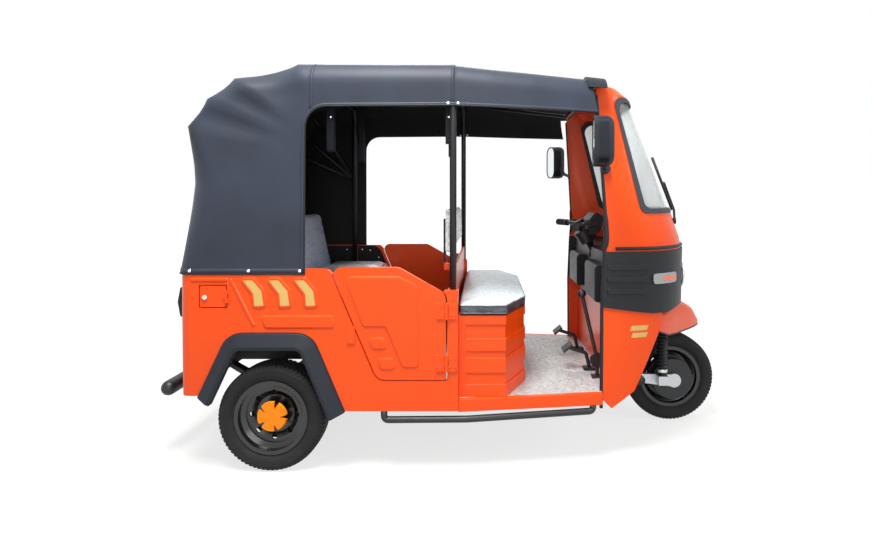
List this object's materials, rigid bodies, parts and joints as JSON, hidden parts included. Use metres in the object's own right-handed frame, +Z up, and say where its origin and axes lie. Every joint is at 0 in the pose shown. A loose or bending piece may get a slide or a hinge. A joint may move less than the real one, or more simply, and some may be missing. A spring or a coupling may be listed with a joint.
{
  "type": "auto rickshaw",
  "caption": "Three-wheeled passenger auto rickshaw with a folding vinyl hood on tube bows, half doors, a bench for the driver, handlebar steering and a one-sided leading-link front fork.",
  "frame": {"origin": "on the ground under the middle of the overall length and width", "axes": "+X to the front, +Y to the vehicle's left side, +Z up"},
  "size_m": [2.8699, 1.62, 1.902],
  "materials": {
    "paint": "gloss",
    "black_paint": "satin",
    "floor_plate": "embossed",
    "hood_vinyl": "matt",
    "seat_vinyl": "satin",
    "cushion_vinyl": "satin",
    "black_plastic": "grained",
    "grey_plastic": "grained",
    "screen_glass": "clear",
    "seal_rubber": "matt",
    "clear_lens": "clear",
    "amber_lens": "gloss",
    "red_lens": "gloss",
    "cast_alloy": "as cast",
    "exhaust_steel": "heat stained",
    "tyre_rubber": "matt",
    "wheel_paint": "satin",
    "cap_paint": "gloss"
  },
  "bodies": {
    "body": {"chassis_frame": "black_paint", "floor_pan": "floor_plate", "sills": "paint", "quarter_right": "paint", "quarter_left": "paint", "rear_panel": "paint", "tail_lamps": "red_lens", "rear_bumper": "black_paint", "seat_deck": "black_paint", "passenger_cushion": "cushion_vinyl", "passenger_backrest": "seat_vinyl", "seat_box": "paint", "engine": "cast_alloy", "driver_cushion": "cushion_vinyl", "driver_backrest": "cushion_vinyl", "partition": "paint", "main_hoop": "black_paint", "middle_hoop": "black_paint", "hood_bows": "black_paint", "roof_rails": "black_paint", "canopy": "hood_vinyl", "roof_visor": "grey_plastic", "cowl_upper": "paint", "cowl_lower": "paint", "nose_band": "black_plastic", "mudguard": "paint", "windscreen": "screen_glass", "windscreen_seal": "seal_rubber", "head_lamps": "clear_lens", "turn_lamps": "amber_lens", "wiper": "black_plastic", "mirrors": "black_plastic", "dashboard": "black_plastic", "bulkhead": "paint", "pedals": "black_paint", "side_steps": "black_paint", "arch_flares": "grey_plastic", "rear_axle": "black_paint", "leaf_springs": "black_paint", "exhaust": "exhaust_steel"},
    "steering": {"handlebar": "black_plastic", "steering_head": "black_plastic", "steering_fork": "black_paint", "front_link": "cast_alloy", "front_shock": "black_plastic", "front_brake": "cast_alloy"},
    "front_wheel": {"front_tyre": "tyre_rubber", "front_rim": "wheel_paint"},
    "rear_wheel_right": {"rear_tyre_right": "tyre_rubber", "rear_rim_right": "wheel_paint", "hub_cap_right": "cap_paint"},
    "rear_wheel_left": {"rear_tyre_left": "tyre_rubber", "rear_rim_left": "wheel_paint", "hub_cap_left": "cap_paint"},
    "right_door": {"door_right": "paint"},
    "left_door": {"door_left": "paint"},
    "filler_flap": {"fuel_flap": "paint"}
  },
  "joints": [
    {"name": "steering", "type": "hinge", "parent": "body", "child": "steering", "pos_m": [0.69, 0, 1.11], "axis": [-0.454, 0, 0.891], "range_deg": [-36, 36]},
    {"name": "front_wheel_spin", "type": "hinge", "parent": "steering", "child": "front_wheel", "pos_m": [1.188, 0, 0.247], "axis": [0, 1, 0], "continuous": true},
    {"name": "rear_wheel_right_spin", "type": "hinge", "parent": "body", "child": "rear_wheel_right", "pos_m": [-0.852, -0.58, 0.247], "axis": [0, 1, 0], "continuous": true},
    {"name": "rear_wheel_left_spin", "type": "hinge", "parent": "body", "child": "rear_wheel_left", "pos_m": [-0.852, 0.58, 0.247], "axis": [0, 1, 0], "continuous": true},
    {"name": "right_door", "type": "hinge", "parent": "body", "child": "right_door", "pos_m": [-0.04, -0.649, 0.622], "axis": [0, 0, 1], "range_deg": [0, 80]},
    {"name": "left_door", "type": "hinge", "parent": "body", "child": "left_door", "pos_m": [-0.04, 0.649, 0.622], "axis": [0, 0, -1], "range_deg": [0, 80]},
    {"name": "filler_flap", "type": "hinge", "parent": "body", "child": "filler_flap", "pos_m": [-1.0535, -0.646, 0.8085], "axis": [0, 0, 1], "range_deg": [0, 90]}
  ]
}
